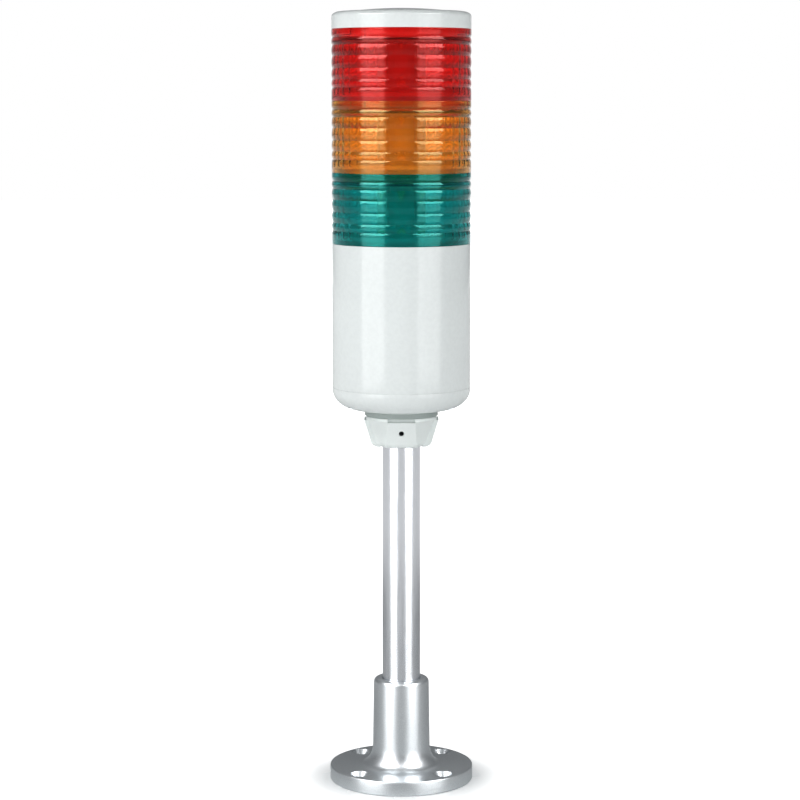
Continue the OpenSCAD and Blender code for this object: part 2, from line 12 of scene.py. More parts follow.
import bmesh
import bpy
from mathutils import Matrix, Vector


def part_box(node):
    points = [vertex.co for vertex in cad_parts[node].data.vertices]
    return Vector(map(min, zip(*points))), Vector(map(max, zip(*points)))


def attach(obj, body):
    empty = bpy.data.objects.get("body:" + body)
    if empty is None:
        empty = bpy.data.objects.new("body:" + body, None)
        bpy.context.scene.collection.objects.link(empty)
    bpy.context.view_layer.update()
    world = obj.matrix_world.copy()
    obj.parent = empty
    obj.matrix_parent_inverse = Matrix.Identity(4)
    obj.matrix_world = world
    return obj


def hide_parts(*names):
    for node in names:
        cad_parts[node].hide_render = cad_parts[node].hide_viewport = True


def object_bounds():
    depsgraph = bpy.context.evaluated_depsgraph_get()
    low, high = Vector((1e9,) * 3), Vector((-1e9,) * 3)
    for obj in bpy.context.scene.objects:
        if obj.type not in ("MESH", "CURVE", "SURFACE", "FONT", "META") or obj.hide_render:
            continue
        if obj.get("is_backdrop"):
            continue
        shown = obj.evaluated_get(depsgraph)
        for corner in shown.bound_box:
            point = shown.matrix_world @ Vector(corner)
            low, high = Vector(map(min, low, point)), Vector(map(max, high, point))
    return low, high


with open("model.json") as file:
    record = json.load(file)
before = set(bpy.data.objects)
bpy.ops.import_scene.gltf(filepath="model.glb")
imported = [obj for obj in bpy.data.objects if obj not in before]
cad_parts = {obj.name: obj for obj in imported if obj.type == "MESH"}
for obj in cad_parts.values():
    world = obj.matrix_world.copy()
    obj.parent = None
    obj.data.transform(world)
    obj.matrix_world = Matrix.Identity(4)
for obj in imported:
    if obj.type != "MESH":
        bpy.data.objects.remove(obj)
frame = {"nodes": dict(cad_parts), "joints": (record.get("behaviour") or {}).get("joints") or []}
cad_low, cad_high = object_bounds()
nodes = frame["nodes"]

# %% [markdown]
# The solids are measured in metres, and a stack light is thought of in millimetres. A small function reads
# the radius and the two ends of a round solid in millimetres, so that every new piece takes its place from
# the solid it stands for.

# %% Measures
MM = 0.001
COLOURS = ("green", "amber", "red")


def span(node):
    """Radius, lowest and highest height of a round solid, in millimetres."""
    low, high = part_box(node)
    return (high.x - low.x) / 2 / MM, low.z / MM, high.z / MM


body_r, housing_z, housing_top = span("housing")
twist_z = {j["child"]: j["pos_m"][2] / MM for j in frame["joints"]}
print("housing radius", round(body_r, 2), "from", round(housing_z, 1), "to", round(housing_top, 1))
print("parting planes", {name: round(z, 1) for name, z in twist_z.items()})

# %% [markdown]
# An operator works on whatever is selected, so three small functions keep the selection in hand. One makes
# a piece the only chosen object, one picks points, edges or faces by a test in edit mode, and one shades a
# finished piece: smooth where two faces meet at a small angle, sharp where they don't.

# %% Choose, pick and shade
SMOOTH_BELOW = math.radians(30)


def choose(piece):
    """Makes a piece the active object and the only selected one."""
    bpy.ops.object.select_all(action="DESELECT")
    bpy.context.view_layer.objects.active = piece
    piece.select_set(True)


def pick(piece, kind, chosen):
    """Selects the points (VERT), edges (EDGE) or faces (FACE) of a piece in edit mode that pass a test."""
    bpy.ops.mesh.select_mode(type=kind)
    bpy.ops.mesh.select_all(action="DESELECT")
    mesh = bmesh.from_edit_mesh(piece.data)
    for element in {"VERT": mesh.verts, "EDGE": mesh.edges, "FACE": mesh.faces}[kind]:
        element.select = chosen(element)
    bmesh.update_edit_mesh(piece.data)


def shade(piece):
    """Shades the chosen piece smooth, apart from its sharp edges."""
    bpy.ops.object.shade_smooth_by_angle(angle=SMOOTH_BELOW)
    print(piece.name, "has", len(piece.data.polygons), "faces")


# %% [markdown]
# ## Turning a piece
# Nearly everything on this light is round, so it could be modelled from cylinders, but a turned outline
# gives every bevel, lip and groove at once. A plane is merged to a single point, the point is drawn out
# along the outline, and the outline is spun round the upright axis. The seam and the poles are closed by
# merging what lies on the same spot.

# %% Turn an outline
MERGE = 0.002 * MM


def arc(centre_r, centre_z, width, height, start, end, steps=8):
    """Points of an elliptical arc, from one angle to another in degrees."""
    turns = [math.radians(start + (end - start) * k / steps) for k in range(steps + 1)]
    return [(centre_r + width * math.cos(t), centre_z + height * math.sin(t)) for t in turns]


def up(points, z):
    """The same (radius, height) points, moved up."""
    return [(r, h + z) for r, h in points]


def draw_loop(name, points):
    """Draws a closed loop of (x, y, z) points, in millimetres, and leaves it selected in edit mode."""
    bpy.ops.object.select_all(action="DESELECT")
    bpy.ops.mesh.primitive_plane_add(size=MM)
    piece = bpy.context.object
    piece.name = piece.data.name = name
    bpy.ops.object.mode_set(mode="EDIT")
    bpy.ops.mesh.select_mode(type="VERT")
    bpy.ops.mesh.select_all(action="SELECT")
    bpy.ops.mesh.merge(type="CENTER")
    bpy.ops.transform.translate(value=[v * MM for v in points[0]])
    for here, there in zip(points, points[1:] + points[:1]):
        step = [(b - a) * MM for a, b in zip(here, there)]
        bpy.ops.mesh.extrude_region_move(TRANSFORM_OT_translate={"value": step})
    bpy.ops.mesh.select_all(action="SELECT")
    bpy.ops.mesh.remove_doubles(threshold=MERGE)
    return piece


def close_piece(piece):
    """Merges doubles, turns the faces outwards, leaves edit mode and shades the piece."""
    bpy.ops.mesh.select_all(action="SELECT")
    bpy.ops.mesh.remove_doubles(threshold=MERGE)
    bpy.ops.mesh.normals_make_consistent(inside=False)
    bpy.ops.object.mode_set(mode="OBJECT")
    shade(piece)
    return piece


def turned(name, outline, steps=192):
    """Spins a closed outline of (radius, height) points, in millimetres, round the Z axis."""
    piece = draw_loop(name, [(r, 0, z) for r, z in outline])
    bpy.ops.mesh.spin(steps=steps, angle=math.tau, center=(0, 0, 0), axis=(0, 0, 1))
    return close_piece(piece)


# %% [markdown]
# Some features repeat round a turned wall: flutes, lugs, channels. They could be cut by Booleans, but a
# spun wall already has upright columns of points, so it is enough to pick the points between two heights
# and two radii that stand at the right angles, and to scale them away from the axis. The mesh stays closed
# and evenly divided.
#
# A Boolean is kept for what a spun wall can't give: drilled holes, cut windows, and castings or mouldings
# that are joined into one skin.

# %% Push part of a wall, cut a piece, and seat it
def polar(co):
    """Radius in millimetres, angle in degrees and height in millimetres of a point."""
    return math.hypot(co.x, co.y) / MM, math.degrees(math.atan2(co.y, co.x)), co.z / MM


def push_wall(piece, chosen, factor):
    """Scales the points for which chosen(radius, angle, height) is true away from the Z axis."""
    choose(piece)
    bpy.ops.object.mode_set(mode="EDIT")
    pick(piece, "VERT", lambda point: chosen(*polar(point.co)))
    bpy.ops.transform.resize(value=(factor, factor, 1), center_override=(0, 0, 0))
    bpy.ops.object.mode_set(mode="OBJECT")


def carve(piece, cutter, operation="DIFFERENCE"):
    """Cuts one piece with another, or joins them into one skin, and deletes the cutter."""
    choose(piece)
    tool = piece.modifiers.new("carve", "BOOLEAN")
    tool.operation = operation
    tool.solver = "EXACT"
    tool.object = cutter
    bpy.ops.object.modifier_apply(modifier=tool.name)
    bpy.data.objects.remove(cutter)
    shade(piece)


def seat(piece, body, slot, material, *replaced):
    """Puts a finished piece on its body, in its material, in the place of the solids that it stands for."""
    piece.data.materials.clear()
    piece.data.materials.append(material)
    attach(piece, body)
    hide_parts(*replaced)


# %% [markdown]
# ## Materials
# Each material is made of a few nodes that read Object coordinates, so a pattern keeps its real size.
# Colours are written as sRGB hex values, as a paint chart has them, and one function turns them to the
# linear values that the shader wants.
#
# The real grain of most of these surfaces, a tumbled casting or an eroded mould, is a few hundredths of a
# millimetre and would never show. It is drawn some ten times coarser, with a relief of a few thousandths
# to two hundredths of a millimetre, so that it still breaks up a highlight.

# %% Colour and node helpers
COLOUR_STOPS = (0.35, 0.65)
GLOSS_STOPS = (0.3, 0.7)


def linear(hex_colour):
    """Linear RGBA of an sRGB hex colour."""
    parts = [int(hex_colour[i:i + 2], 16) / 255 for i in (1, 3, 5)]
    return [p / 12.92 if p <= 0.04045 else ((p + 0.055) / 1.055) ** 2.4 for p in parts] + [1]


def add_node(owner, kind, sockets, **settings):
    """Adds a node to a material or world with its settings, and sets or links its input sockets."""
    tree = owner.node_tree
    made = tree.nodes.new("ShaderNode" + kind)
    for name, value in settings.items():
        setattr(made, name, value)
    for name, value in sockets.items():
        if isinstance(value, bpy.types.NodeSocket):
            tree.links.new(value, made.inputs[name])
        else:
            made.inputs[name].default_value = value
    return made


def per_metre(feature_mm):
    """Noise scale that gives features of a real size in millimetres."""
    return 1 / (feature_mm * MM)


def new_material(name, grain_mm, colours, roughness, bump_mm, stretch=(1, 1, 1), detail=3, **shader):
    """A surface whose colour, roughness and relief follow one noise of a real grain size.

    colours and roughness are the values at the noise's low and high end, bump_mm is the depth of the relief,
    and the other settings go on the shader itself."""
    material = bpy.data.materials.new(name)
    material.use_nodes = True
    surface = material.node_tree.nodes["Principled BSDF"]
    place = add_node(material, "TexCoord", {})
    drawn = add_node(material, "Mapping", {"Vector": place.outputs["Object"], "Scale": stretch})
    grain = add_node(material, "TexNoise", {
        "Vector": drawn.outputs[0], "Scale": per_metre(grain_mm), "Detail": detail})
    tint = add_node(material, "ValToRGB", {"Fac": grain.outputs["Fac"]})
    for stop, at, colour in zip(tint.color_ramp.elements, COLOUR_STOPS, colours):
        stop.position = at
        stop.color = linear(colour)
    gloss = add_node(material, "MapRange", {
        "Value": grain.outputs["Fac"], "From Min": GLOSS_STOPS[0], "From Max": GLOSS_STOPS[1],
        "To Min": roughness[0], "To Max": roughness[1]})
    relief = add_node(material, "Bump", {
        "Height": grain.outputs["Fac"], "Distance": bump_mm * MM, "Strength": 1})
    for socket, source in (("Base Color", tint), ("Roughness", gloss), ("Normal", relief)):
        material.node_tree.links.new(source.outputs[0], surface.inputs[socket])
    for setting, value in shader.items():
        surface.inputs[setting.replace("_", " ")].default_value = value
    print("material", name)
    return material


# %% [markdown]
# ### Metals
# The foot is gravity-cast aluminium, tumbled to an even satin. The tube is drawn aluminium, bright, with
# faint lines along its length, so its noise is stretched fifty times upwards. Screws are blackened or
# zinc-plated steel.

# %% Metals
# Tumbling spreads a highlight wide and leaves a fine grain in it.
cast_aluminium = new_material(
    "cast_aluminium_tumbled", 0.45, ("#C8CCCF", "#D8DCDE"), (0.28, 0.38), 0.012, Metallic=1)
# A drawn tube mirrors what stands round it in long, clean, upright streaks.
drawn_aluminium = new_material(
    "drawn_aluminium_bright", 0.35, ("#DADCE0", "#E6E8EC"), (0.16, 0.26), 0.002,
    stretch=(1, 1, 0.02), Metallic=1)
# Black oxide leaves a dark, dull shine.
black_steel = new_material(
    "blackened_steel", 0.3, ("#17181A", "#26272A"), (0.35, 0.5), 0.004, Metallic=1)
# Zinc plating looks cool and slightly clouded.
zinc_steel = new_material(
    "zinc_plated_steel", 0.4, ("#A9AEB3", "#C2C6CA"), (0.24, 0.36), 0.003, Metallic=1)
# Turned pins give small warm glints.
pin_brass = new_material(
    "turned_brass", 0.2, ("#B8924A", "#D2AE62"), (0.22, 0.32), 0.002, Metallic=1)

# %% [markdown]
# ### Moulded plastics
# The housing, the cover and the cap are ABS from a polished mould: glossy and nearly white. The collar is
# nylon from a finely eroded mould, duller and just as pale. The pieces inside the lamps are unpainted PBT
# of a pale, warm grey, which keeps them quiet behind the tinted walls.

# %% Plastics and rubber
# A polished mould reflects clearly, with a very slight waviness. Its low specular level keeps the strips of
# light soft.
housing_abs = new_material(
    "abs_white_polished", 2.2, ("#E7ECEB", "#EAEFEE"), (0.07, 0.11), 0.0015, detail=1, IOR=1.53,
    Specular_IOR_Level=0.25)
# An eroded mould blurs every reflection to a soft sheen.
collar_nylon = new_material(
    "nylon_grey_eroded", 0.35, ("#E9F0EE", "#F1F6F4"), (0.34, 0.46), 0.01, IOR=1.53)
# Unpainted PBT is even and dull.
inner_pbt = new_material(
    "pbt_white_moulded", 0.6, ("#C6C6C0", "#D2D2CC"), (0.35, 0.5), 0.006, IOR=1.55)
# Nitrile rubber is nearly black and hardly shines.
seal_rubber = new_material(
    "nitrile_rubber_black", 0.4, ("#1B1C1D", "#2B2C2D"), (0.6, 0.75), 0.01, IOR=1.52)
# Silicone rubber, coloured a mid grey that is painted shade: the grey stands for the shadow that falls on
# the neck under the cover.
gasket_grey_painted_shade = new_material(
    "silicone_rubber_painted_shade_grey", 0.4, ("#98A29F", "#A4AEAB"), (0.5, 0.65), 0.008, IOR=1.41)
# Relay cases have a soft shine on a strong blue.
relay_plastic = new_material(
    "pbt_blue_moulded", 0.5, ("#1C3F93", "#2549A0"), (0.3, 0.42), 0.005, IOR=1.55)
# Terminal blocks are a bright, flat green.
terminal_plastic = new_material(
    "pbt_green_moulded", 0.5, ("#1E8A55", "#27955F"), (0.32, 0.45), 0.005, IOR=1.55)
# Connectors are black, with a shine only on their edges.
black_plastic = new_material(
    "pbt_black_moulded", 0.5, ("#141517", "#1F2022"), (0.35, 0.5), 0.005, IOR=1.55)

# %% [markdown]
# ### Boards and what stands on them
# Circuit boards are glass fibre under a coat of solder mask. LEDs are yellow phosphor under clear resin.
# The transformer's core is a stack of varnished plates, and the capacitors are sleeved cans.

# %% Boards and electrical parts
# A solder mask is a thin glossy coat that is never quite even.
green_mask = new_material(
    "solder_mask_green", 0.5, ("#0C4A26", "#12592F"), (0.22, 0.34), 0.004, IOR=1.5)
# The lamps' boards have a white mask, which sends their light outwards. It is drawn as a pale grey, darker
# than the white mask, which is painted shade for the shadowed post in the middle of each lens.
white_mask_painted_shade = new_material(
    "solder_mask_white_painted_shade", 0.5, ("#CFCFC9", "#DADAD5"), (0.25, 0.38), 0.004, IOR=1.5)
# Resin over phosphor looks like a small pale drop with a hard highlight.
led_resin = new_material(
    "led_phosphor_resin", 0.4, ("#EBDDA4", "#F4EBC6"), (0.08, 0.16), 0.002, IOR=1.5)
# The edges of the plates show as fine lines, so the noise is stretched along the other two axes.
core_plates = new_material(
    "varnished_core_plates", 0.5, ("#3A3A3C", "#55555A"), (0.35, 0.55), 0.02,
    stretch=(0.05, 1, 0.05), Metallic=0.6)
# A shrunk sleeve is smooth and a little glossy.
can_sleeve = new_material(
    "capacitor_sleeve", 0.6, ("#2B3A46", "#354757"), (0.2, 0.32), 0.003, IOR=1.5)

# %% [markdown]
# ### Tinted lenses
# The lenses are moulded in clear, dyed acrylic. They could be painted with an opaque colour, but the depth
# of a stack light comes from light that goes in, meets the post inside and comes out again, so the wall
# really refracts. The dye is the base colour: light takes it on each time that it passes a wall. A few
# hundredths of the light scatter in the dye, and the glints are tinted too, because on a ribbed wall most
# of them have been through the acrylic.

# %% Tinted acrylic
LENS_DRIFT_MM = 14
LENS_CLEAR = 0.97


def tinted_acrylic(name, light, deep, glint):
    """Clear dyed acrylic. Its colour drifts a little between two close tints over a centimetre or two."""
    return new_material(name, LENS_DRIFT_MM, (deep, light), (0.1, 0.15), 0.002, detail=0,
                        IOR=1.49, Transmission_Weight=LENS_CLEAR, Specular_Tint=linear(glint))


# A dyed wall is deep where it is seen on edge or twice, and bright where a pale piece stands behind it.
lens_material = {
    "green": tinted_acrylic("acrylic_green_dyed", "#2CBCBA", "#24B2B0", "#70FFF2"),
    "amber": tinted_acrylic("acrylic_amber_dyed", "#FFBA5A", "#FEB04E", "#FFE8A0"),
    "red": tinted_acrylic("acrylic_red_dyed", "#F8504A", "#F24640", "#FF8C88"),
}

# %% [markdown]
# ## The camera
# A long lens some way off, looking a little down on the middle of the light, keeps the upright walls
# parallel and shows the flange as a flat ellipse. The camera is set before the pieces, so that a look is
# possible at any time.

# %% Camera
PITCH = math.radians(7.2)
DISTANCE = 1.40
FOCAL_LENGTH = 108.3
ASIDE = -0.0008  # puts the light's axis a hair to the right of the middle
AIM_Z = (cad_low[2] + cad_high[2]) / 2
camera = bpy.data.objects.new("camera", bpy.data.cameras.new("camera"))
camera.data.lens = FOCAL_LENGTH
camera.location = (ASIDE, -DISTANCE * math.cos(PITCH), AIM_Z + DISTANCE * math.sin(PITCH))
camera.rotation_euler = (math.pi / 2 - PITCH, 0, 0)
bpy.context.collection.objects.link(camera)
bpy.context.scene.camera = camera
bpy.context.scene.view_settings.view_transform = "Standard"
print("camera at", [round(v, 3) for v in camera.location])

# %% [markdown]
# ## The cast foot
# The foot is one casting: a flange with four countersunk holes and a boss that takes the tube. Its outline
# is turned, and holes are then drilled with Booleans, as on the real one. The boss widens by its draft
# towards the flange and runs into it with a wide flare.

# %% Turn the foot
flange_r, _, boss_top = span("base_casting")
pole_r, pole_z0, pole_z1 = span("pole")
FLANGE_T, FLANGE_BEVEL = 8.5, 0.8
BOSS_R, BOSS_FOOT_R, BOSS_ROUND = 16.2, 16.8, 2.4
FLARE_W, FLARE_H = 8, 12
SOCKET_R = pole_r + 0.15
CABLE_R = 9.75
LEAD_IN = 0.5
CORE_R0, CORE_R1 = 15.3, 26.25

foot = turned("foot", (
    [(CABLE_R + LEAD_IN, 0), (CORE_R0, 0), (CORE_R1, 0)]
    + arc(flange_r - FLANGE_BEVEL, FLANGE_BEVEL, FLANGE_BEVEL, FLANGE_BEVEL, -90, 0, 4)
    + arc(flange_r - FLANGE_BEVEL, FLANGE_T - FLANGE_BEVEL, FLANGE_BEVEL, FLANGE_BEVEL, 0, 90, 5)
    + arc(BOSS_FOOT_R + FLARE_W, FLANGE_T + FLARE_H, FLARE_W, FLARE_H, 270, 180, 18)
    + arc(BOSS_R - BOSS_ROUND, boss_top - BOSS_ROUND, BOSS_ROUND, BOSS_ROUND, 0, 90, 6)
    + [(SOCKET_R + LEAD_IN, boss_top), (SOCKET_R, boss_top - LEAD_IN), (SOCKET_R, pole_z0),
       (CABLE_R, pole_z0), (CABLE_R, LEAD_IN)]))

# %% [markdown]
# Underneath, the flange is hollowed between four ribs, so that the metal has an even thickness. These
# hollows are made as by hand: the faces of the underside between the ribs are picked by their place and
# extruded upwards.

# %% Hollow the flange from below
CORE_DEPTH = 4.5
RIB_HALF_ANGLE = 4


def between_ribs(face):
    """Whether a face of the underside belongs to one of the four hollows."""
    r, angle, z = polar(face.calc_center_median())
    to_rib = (angle + 45) % 90 - 45
    return z < 0.1 and CORE_R0 < r < CORE_R1 and abs(to_rib) > RIB_HALF_ANGLE


choose(foot)
bpy.ops.object.mode_set(mode="EDIT")
pick(foot, "FACE", between_ribs)
bpy.ops.mesh.extrude_region_move(TRANSFORM_OT_translate={"value": (0, 0, CORE_DEPTH * MM)})
bpy.ops.object.mode_set(mode="OBJECT")
print("the hollows are", CORE_DEPTH, "mm deep")

# %% [markdown]
# A countersunk hole is a straight cylinder with a cone on top. The cone's lower ring is as wide as the
# hole, and its upper ring runs past the flange, so that the cut leaves a clean mouth. The set screw's hole
# at the back is drilled from the side, through the boss and into the tube's socket.

# %% Drill the holes
BOLT_CIRCLE_R, BOLT_R, SINK_R = 34, 2.75, 5.75
DRILL_L, DRILL_Z = 2 * FLANGE_T, FLANGE_T - 3
PAST = 1  # how far a cutter runs past the surface that it opens
SET_SCREW_R, SET_SCREW_L = 2.5, 12
LYING = (math.pi / 2, 0, 0)


def rod(name, radius, length, location, rotation=(0, 0, 0), sides=48, top_radius=None):
    """A cylinder or cone to cut with, at its size and place in millimetres."""
    bpy.ops.object.select_all(action="DESELECT")
    bpy.ops.mesh.primitive_cone_add(
        vertices=sides, radius1=radius * MM, radius2=(radius if top_radius is None else top_radius) * MM,
        depth=length * MM, location=[v * MM for v in location], rotation=rotation)
    made = bpy.context.object
    made.name = name
    bpy.ops.object.transform_apply(location=True, rotation=True, scale=True)
    return made


sink = SINK_R - BOLT_R
for quarter in range(4):
    turn = math.radians(45 + 90 * quarter)
    x, y = BOLT_CIRCLE_R * math.cos(turn), BOLT_CIRCLE_R * math.sin(turn)
    carve(foot, rod("bolt_drill", BOLT_R, DRILL_L, (x, y, DRILL_Z), sides=64))
    carve(foot, rod("sink_drill", BOLT_R, sink + PAST, (x, y, FLANGE_T + (PAST - sink) / 2), sides=64,
                    top_radius=SINK_R + PAST))
low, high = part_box("base_set_screw")
screw_z = (low.z + high.z) / 2 / MM
screw_y = pole_r - PAST + SET_SCREW_L / 2
carve(foot, rod("screw_drill", SET_SCREW_R, SET_SCREW_L, (0, screw_y, screw_z), LYING))
seat(foot, "stand", "cast_aluminium", cast_aluminium, "base_casting")

# %% [markdown]
# ## The tube and the gasket
# The tube is a plain drawn section with broken edges. It stands in the foot and in the collar. The gasket
# is a flat ring of silicone rubber between the collar and the cover. Its grey is painted shade: it stands
# for the shadow that falls on the narrow neck under the cover.

# %% Turn the tube and the gasket
POLE_WALL = 1.5
EDGE = 0.3
GASKET_EDGE = 0.2
NECK_HOLE_R = 19.1
tube = turned("tube", [
    (pole_r - POLE_WALL, pole_z0 + EDGE), (pole_r - POLE_WALL + EDGE, pole_z0), (pole_r - EDGE, pole_z0),
    (pole_r, pole_z0 + EDGE), (pole_r, pole_z1 - EDGE), (pole_r - EDGE, pole_z1),
    (pole_r - POLE_WALL + EDGE, pole_z1), (pole_r - POLE_WALL, pole_z1 - EDGE)], 128)
seat(tube, "stand", "drawn_aluminium", drawn_aluminium, "pole")

gasket_r, gasket_z0, gasket_z1 = span("neck_gasket")
gasket = turned("gasket", [
    (NECK_HOLE_R, gasket_z0), (gasket_r - GASKET_EDGE, gasket_z0), (gasket_r, gasket_z0 + EDGE),
    (gasket_r, gasket_z1 - EDGE), (gasket_r - GASKET_EDGE, gasket_z1), (NECK_HOLE_R, gasket_z1)], 128)
# The gasket's grey colour is painted shade for the neck under the cover.
seat(gasket, "stand", "grey_rubber", gasket_grey_painted_shade, "neck_gasket")

# %% [markdown]
# ## The collar
# The collar joins the tube to the housing. It is a taper under a thin rim, with four flat pads that carry
# the set screws, and the rim is cut away above each pad. The taper is turned, one pad is modelled and
# turned round by quarters, and Booleans make them one skin, as they are one moulding.

# %% Turn the collar's body
_, collar_z, neck_top = span("pole_collar")
RIM_R, RIM_T = 21.8, 2
PAD_TOP = 15.8
TAPER_FOOT_R, TAPER_TOP_R = 17.1, 20.7
TAPER_IN, TAPER_OUT = 0.15, 0.1  # the small fillet under the rim
LIP_R = SOCKET_R + 1.05
ROUND_H = 4
NECK_R, NECK_BORE_R = 18.8, 15.4
POLE_STOP, STOP_T = 18.2, 2
MOUTH_EDGE = 0.25

neck_h = neck_top - collar_z
collar = turned("collar", up(
    [(SOCKET_R + MOUTH_EDGE, 0)]
    + arc(LIP_R, ROUND_H, TAPER_FOOT_R - LIP_R, ROUND_H, 270, 360, 10)
    + [(TAPER_TOP_R - TAPER_IN, PAD_TOP - EDGE), (TAPER_TOP_R + TAPER_OUT, PAD_TOP), (RIM_R - EDGE, PAD_TOP)]
    + arc(RIM_R - EDGE, PAD_TOP + EDGE, EDGE, EDGE, -90, 0, 3)
    + arc(RIM_R - EDGE, PAD_TOP + RIM_T - EDGE, EDGE, EDGE, 0, 90, 3)
    + [(NECK_R, PAD_TOP + RIM_T), (NECK_R, neck_h - LEAD_IN), (NECK_R - LEAD_IN, neck_h),
       (NECK_BORE_R, neck_h), (NECK_BORE_R, POLE_STOP + STOP_T), (CABLE_R, POLE_STOP + STOP_T),
       (CABLE_R, POLE_STOP), (SOCKET_R, POLE_STOP), (SOCKET_R, MOUTH_EDGE)], collar_z), 160)

# %% [markdown]
# A pad starts as the collar's outline pushed out a little and extruded sideways. Its levels are then
# narrowed towards the head, and the two long edges get a small bevel that catches the light. It stands a
# hair above the collar's foot, so that the two have no face in one plane when they are joined.

# %% Model one pad
PAD_FOOT_W, PAD_HEAD_W = 18.5, 16.5
PAD_PROUD = 0.9
PAD_LIFT = 0.02
PAD_BACK_R = SOCKET_R + 1

pad_face = (
    arc(LIP_R, ROUND_H, TAPER_FOOT_R + PAD_PROUD - LIP_R, ROUND_H, 270, 360, 10)
    + [(TAPER_TOP_R + PAD_PROUD, PAD_TOP)])
pad_loop = [(PAD_BACK_R, PAD_TOP), (PAD_BACK_R, PAD_LIFT)] + up(pad_face[:-1], PAD_LIFT) + pad_face[-1:]
pad = draw_loop("pad", [(-PAD_FOOT_W / 2, -r, collar_z + z) for r, z in pad_loop])
bpy.ops.mesh.edge_face_add()
bpy.ops.mesh.extrude_region_move(TRANSFORM_OT_translate={"value": (PAD_FOOT_W * MM, 0, 0)})
levels = sorted({round(v.co.z / MM - collar_z, 3) for v in bmesh.from_edit_mesh(pad.data).verts})
for level in levels:
    pick(pad, "VERT", lambda point: abs(point.co.z / MM - collar_z - level) < 0.01)
    narrower = 1 - level / PAD_TOP * (1 - PAD_HEAD_W / PAD_FOOT_W)
    bpy.ops.transform.resize(value=(narrower, 1, 1), center_override=(0, 0, 0))
print("narrowed", len(levels), "levels of the pad")

# %% Bevel the pad's long edges
PAD_EDGE = 0.45


def on_face(point):
    """Whether a point lies on the pad's outer face, and not on its back."""
    return -point.co.y / MM > PAD_BACK_R + 0.01


def runs_along(edge):
    """Whether an edge runs along one side of the outer face, and not across it."""
    a, b = edge.verts
    return on_face(a) and on_face(b) and a.co.x * b.co.x > 0


pick(pad, "EDGE", runs_along)
bpy.ops.mesh.bevel(offset=PAD_EDGE * MM, segments=3, affect="EDGES")
close_piece(pad)

# %% [markdown]
# The rim's windows are cut first, then the four pads are joined on, and last the screw holes are drilled
# through pad and wall.

# %% Helpers for a box and for copies
def block(name, low_corner, high_corner):
    """A box to cut with, between two corners in millimetres."""
    bpy.ops.object.select_all(action="DESELECT")
    sides = list(zip(low_corner, high_corner))
    bpy.ops.mesh.primitive_cube_add(
        size=1, location=[(a + b) / 2 * MM for a, b in sides], scale=[(b - a) * MM for a, b in sides])
    made = bpy.context.object
    made.name = name
    bpy.ops.object.transform_apply(location=True, rotation=True, scale=True)
    return made


def copy_piece(piece, degrees=0, lift=0):
    """A copy with its own mesh, turned round the Z axis and lifted by millimetres, with both applied."""
    made = piece.copy()
    made.data = piece.data.copy()
    bpy.context.collection.objects.link(made)
    choose(made)
    made.rotation_euler = (0, 0, math.radians(degrees))
    made.location.z = lift * MM
    bpy.ops.object.transform_apply(location=True, rotation=True, scale=True)
    return made


# %% Cut the windows, join the pads and drill the holes
WINDOW_HALF_W, WINDOW_FLOOR, WINDOW_OVER = 7.85, 0.05, 0.5
SCREW_PLAY = 0.05
COLLAR_DRILL_L = 16
low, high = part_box("collar_set_screws")
hole_z = (low.z + high.z) / 2 / MM
hole_r = (high.z - low.z) / 2 / MM + SCREW_PLAY
window = block("window", (-WINDOW_HALF_W, -RIM_R - PAST, collar_z + PAD_TOP + WINDOW_FLOOR),
               (WINDOW_HALF_W, -NECK_R, collar_z + PAD_TOP + RIM_T + WINDOW_OVER))
hole = rod("hole", hole_r, COLLAR_DRILL_L, (0, PAST - pole_r - COLLAR_DRILL_L / 2, hole_z), LYING)
for cutter, operation in ((window, "DIFFERENCE"), (pad, "UNION"), (hole, "DIFFERENCE")):
    for quarter in range(4):
        carve(collar, copy_piece(cutter, 90 * quarter), operation)
    bpy.data.objects.remove(cutter)
seat(collar, "stand", "collar_plastic", collar_nylon, "pole_collar")

# %% [markdown]
# ## The housing and its cover
# The cover closes the housing from below: a short neck, a small fillet, and a wide rounding that runs into
# the wall. Where the two meet, both have a fine rounded edge, and the two edges together make the parting
# line. Inside, the cover ends in a lip that centres the housing.

# %% Turn the cover
_, cover_z0, cover_z1 = span("bottom_cover")
NECK_H, FILLET_R = 0.8, 0.5
COVER_WALL, COVER_ROUND_H = 2.2, 11.4
PART_EDGE = 0.3
LIP_R0, LIP_R1 = 35.2, 37.2
round_r = RIM_R + 3.4
cover_z = cover_z0 + NECK_H

cover = turned("cover", (
    [(NECK_HOLE_R, cover_z0 + EDGE), (NECK_HOLE_R + EDGE, cover_z0), (RIM_R - EDGE, cover_z0)]
    + arc(RIM_R - EDGE, cover_z0 + EDGE, EDGE, EDGE, -90, 0, 3)
    + arc(RIM_R + FILLET_R, cover_z - FILLET_R, FILLET_R, FILLET_R, 180, 90, 10)
    + arc(round_r, cover_z + COVER_ROUND_H, body_r - round_r, COVER_ROUND_H, 270, 360, 28)
    + arc(body_r - PART_EDGE, housing_z - PART_EDGE, PART_EDGE, PART_EDGE, 0, 90, 4)
    + [(LIP_R1, housing_z), (LIP_R1, cover_z1), (LIP_R0, cover_z1)]
    + arc(round_r, cover_z + COVER_ROUND_H, LIP_R0 - round_r, COVER_ROUND_H - COVER_WALL, 0, -90, 16)
    + [(NECK_HOLE_R, cover_z + COVER_WALL)]))

# %% [markdown]
# Three screws come up through the cover. Each has a round boss inside and a well outside that hides its
# head. A boss ends a tenth of a millimetre below the plane of the joint, so that the two have no face in
# one plane.

